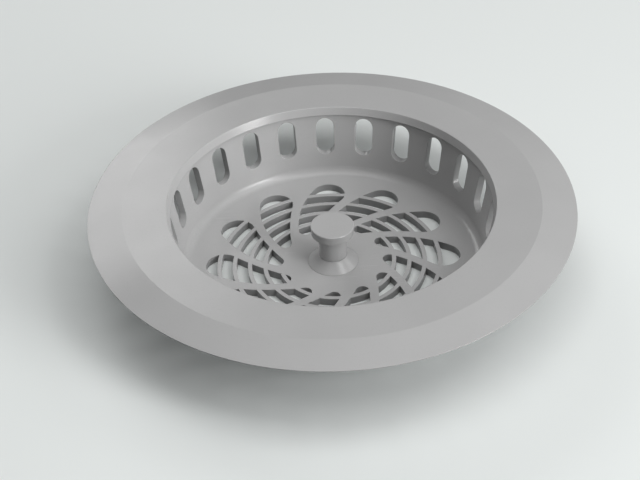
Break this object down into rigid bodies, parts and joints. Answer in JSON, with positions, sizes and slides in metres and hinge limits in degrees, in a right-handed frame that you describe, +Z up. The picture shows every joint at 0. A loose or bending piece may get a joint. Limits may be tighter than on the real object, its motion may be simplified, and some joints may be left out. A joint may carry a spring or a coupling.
{
  "type": "sink strainer",
  "caption": "Drop-in sink strainer: wide bevelled rim, slotted round basket with a swirl-petal floor grate and spiral rib, and a turning button knob on a post.",
  "frame": {"origin": "on the knob's axis, at the flat underside of the basket floor, which is the lowest point of the part", "axes": "+Z up along the knob's axis, from the basket floor to the rim; +X towards the middle of one wall slot and one petal tip"},
  "size_m": [0.114, 0.114, 0.0204],
  "materials": {
    "rim_plastic": "satin moulded grey",
    "basket_plastic": "satin moulded grey",
    "knob_plastic": "satin moulded grey, slightly smoother",
    "stainless_steel": "turned, plain",
    "insert_brass": "turned, plain"
  },
  "bodies": {
    "strainer": {"rim_flange": "rim_plastic", "basket_cup": "basket_plastic", "knob_boss": "basket_plastic"},
    "knob": {"knob_head": "knob_plastic", "knob_post": "knob_plastic", "thread_insert": "insert_brass", "retaining_washer": "stainless_steel", "post_screw": "stainless_steel"}
  },
  "joints": [
    {"name": "knob_turn", "type": "hinge", "parent": "strainer", "child": "knob", "pos_m": [0, 0, 0.0027], "axis": [0, 0, 1], "continuous": true}
  ]
}
